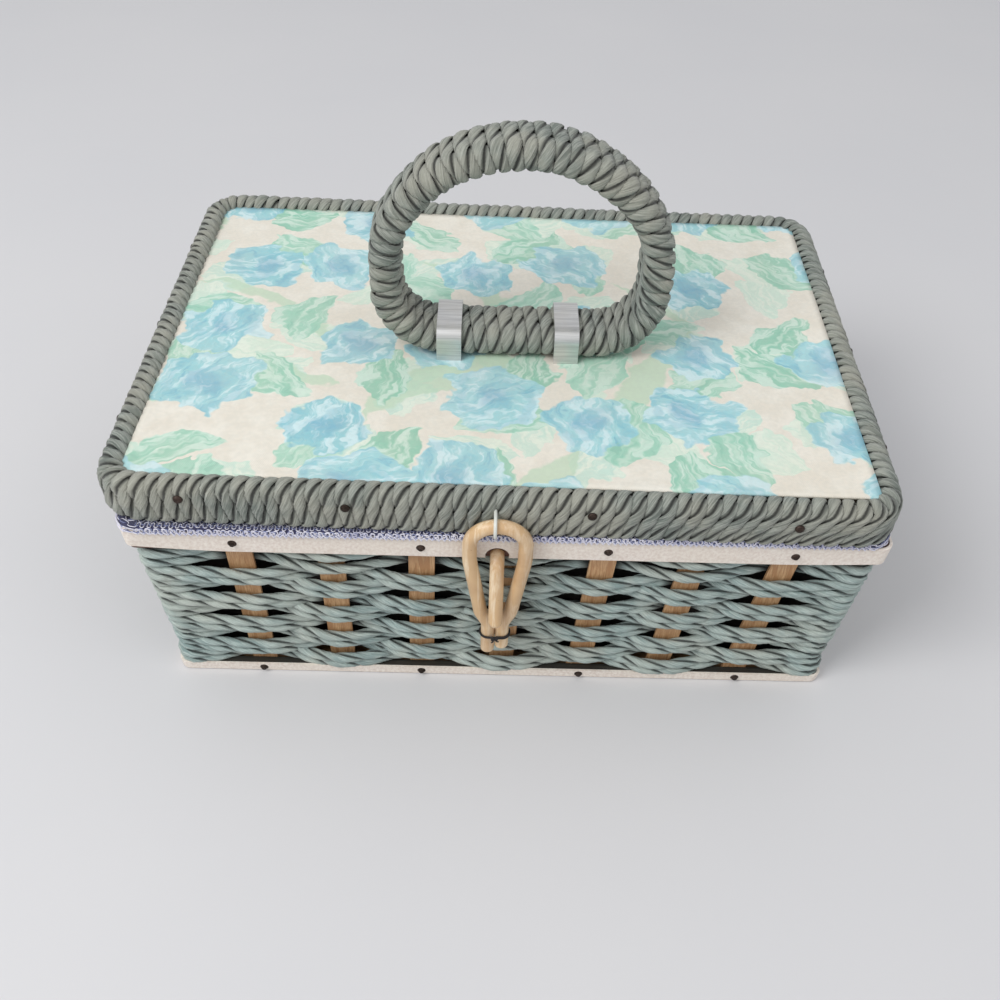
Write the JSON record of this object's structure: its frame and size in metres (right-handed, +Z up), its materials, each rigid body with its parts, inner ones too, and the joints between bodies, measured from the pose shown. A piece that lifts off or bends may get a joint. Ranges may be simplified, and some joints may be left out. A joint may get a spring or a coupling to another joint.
{
  "type": "sewing basket",
  "caption": "Small woven sewing basket with a hinged, wrapped lid, an upright hoop handle on top and a cane loop-and-peg catch in front.",
  "frame": {"origin": "middle of the flat underside of the base board, on the surface that the basket stands on", "axes": "+X to the basket's right, +Y to its hinged back, +Z up; the catch faces -Y"},
  "size_m": [0.2073, 0.1639, 0.1405],
  "materials": {
    "board": "plain sawn hardboard",
    "card": "grey-brown card",
    "hoop_wood": "plain, unvarnished",
    "band_vinyl": "satin vinyl strip, slightly mottled",
    "nail_iron": "dark oxidised",
    "satin": "padded satin",
    "braid": "woven gimp",
    "cane_rod": "smooth cane",
    "cane_core": "plain cane",
    "cane_splint": "split cane, fibrous",
    "thread": "waxed thread",
    "hanger_cord": "white plastic cord",
    "wire": "plain wire",
    "wrap_cord": "twisted paper cord, matt",
    "weave_cord": "twisted paper cord, matt",
    "strap_metal": "satin",
    "printed_vinyl": "printed cloth-backed vinyl"
  },
  "bodies": {
    "basket": {"base_board": "board", "stakes_front": "cane_splint", "stakes_right": "cane_splint", "stakes_back": "cane_splint", "stakes_left": "cane_splint", "weave_course_1": "weave_cord", "weave_course_2": "weave_cord", "weave_course_3": "weave_cord", "weave_course_4": "weave_cord", "weave_course_5": "weave_cord", "weave_course_6": "weave_cord", "weave_course_7": "weave_cord", "weave_course_8": "weave_cord", "weave_course_9": "weave_cord", "outer_hoop": "hoop_wood", "inner_hoop": "hoop_wood", "top_band": "band_vinyl", "bottom_hoop": "hoop_wood", "bottom_band": "band_vinyl", "top_band_nails": "nail_iron", "bottom_band_nails": "nail_iron", "wall_liner": "card", "wall_lining": "satin", "floor_pad": "satin", "mouth_braid": "braid", "catch_peg": "cane_rod", "hinge_ring_left": "wire", "hinge_ring_right": "wire"},
    "lid": {"lid_rim_hoop": "hoop_wood", "rim_wrap": "wrap_cord", "rim_nails": "nail_iron", "lid_board": "board", "lid_cover": "printed_vinyl", "lid_lining": "satin", "handle_core": "cane_core", "handle_wrap": "wrap_cord", "handle_strap_left": "strap_metal", "handle_strap_right": "strap_metal", "toggle_hanger": "hanger_cord"},
    "toggle": {"toggle_loop": "cane_rod", "toggle_binding": "thread"}
  },
  "joints": [
    {"name": "lid_hinge", "type": "hinge", "parent": "basket", "child": "lid", "pos_m": [0, 0.0765, 0.06202], "axis": [-1, 0, 0], "range_deg": [0, 110]},
    {"name": "toggle_swing", "type": "hinge", "parent": "lid", "child": "toggle", "pos_m": [-0.0024, -0.07855, 0.0692], "axis": [-1, 0, 0], "range_deg": [0, 180]}
  ]
}
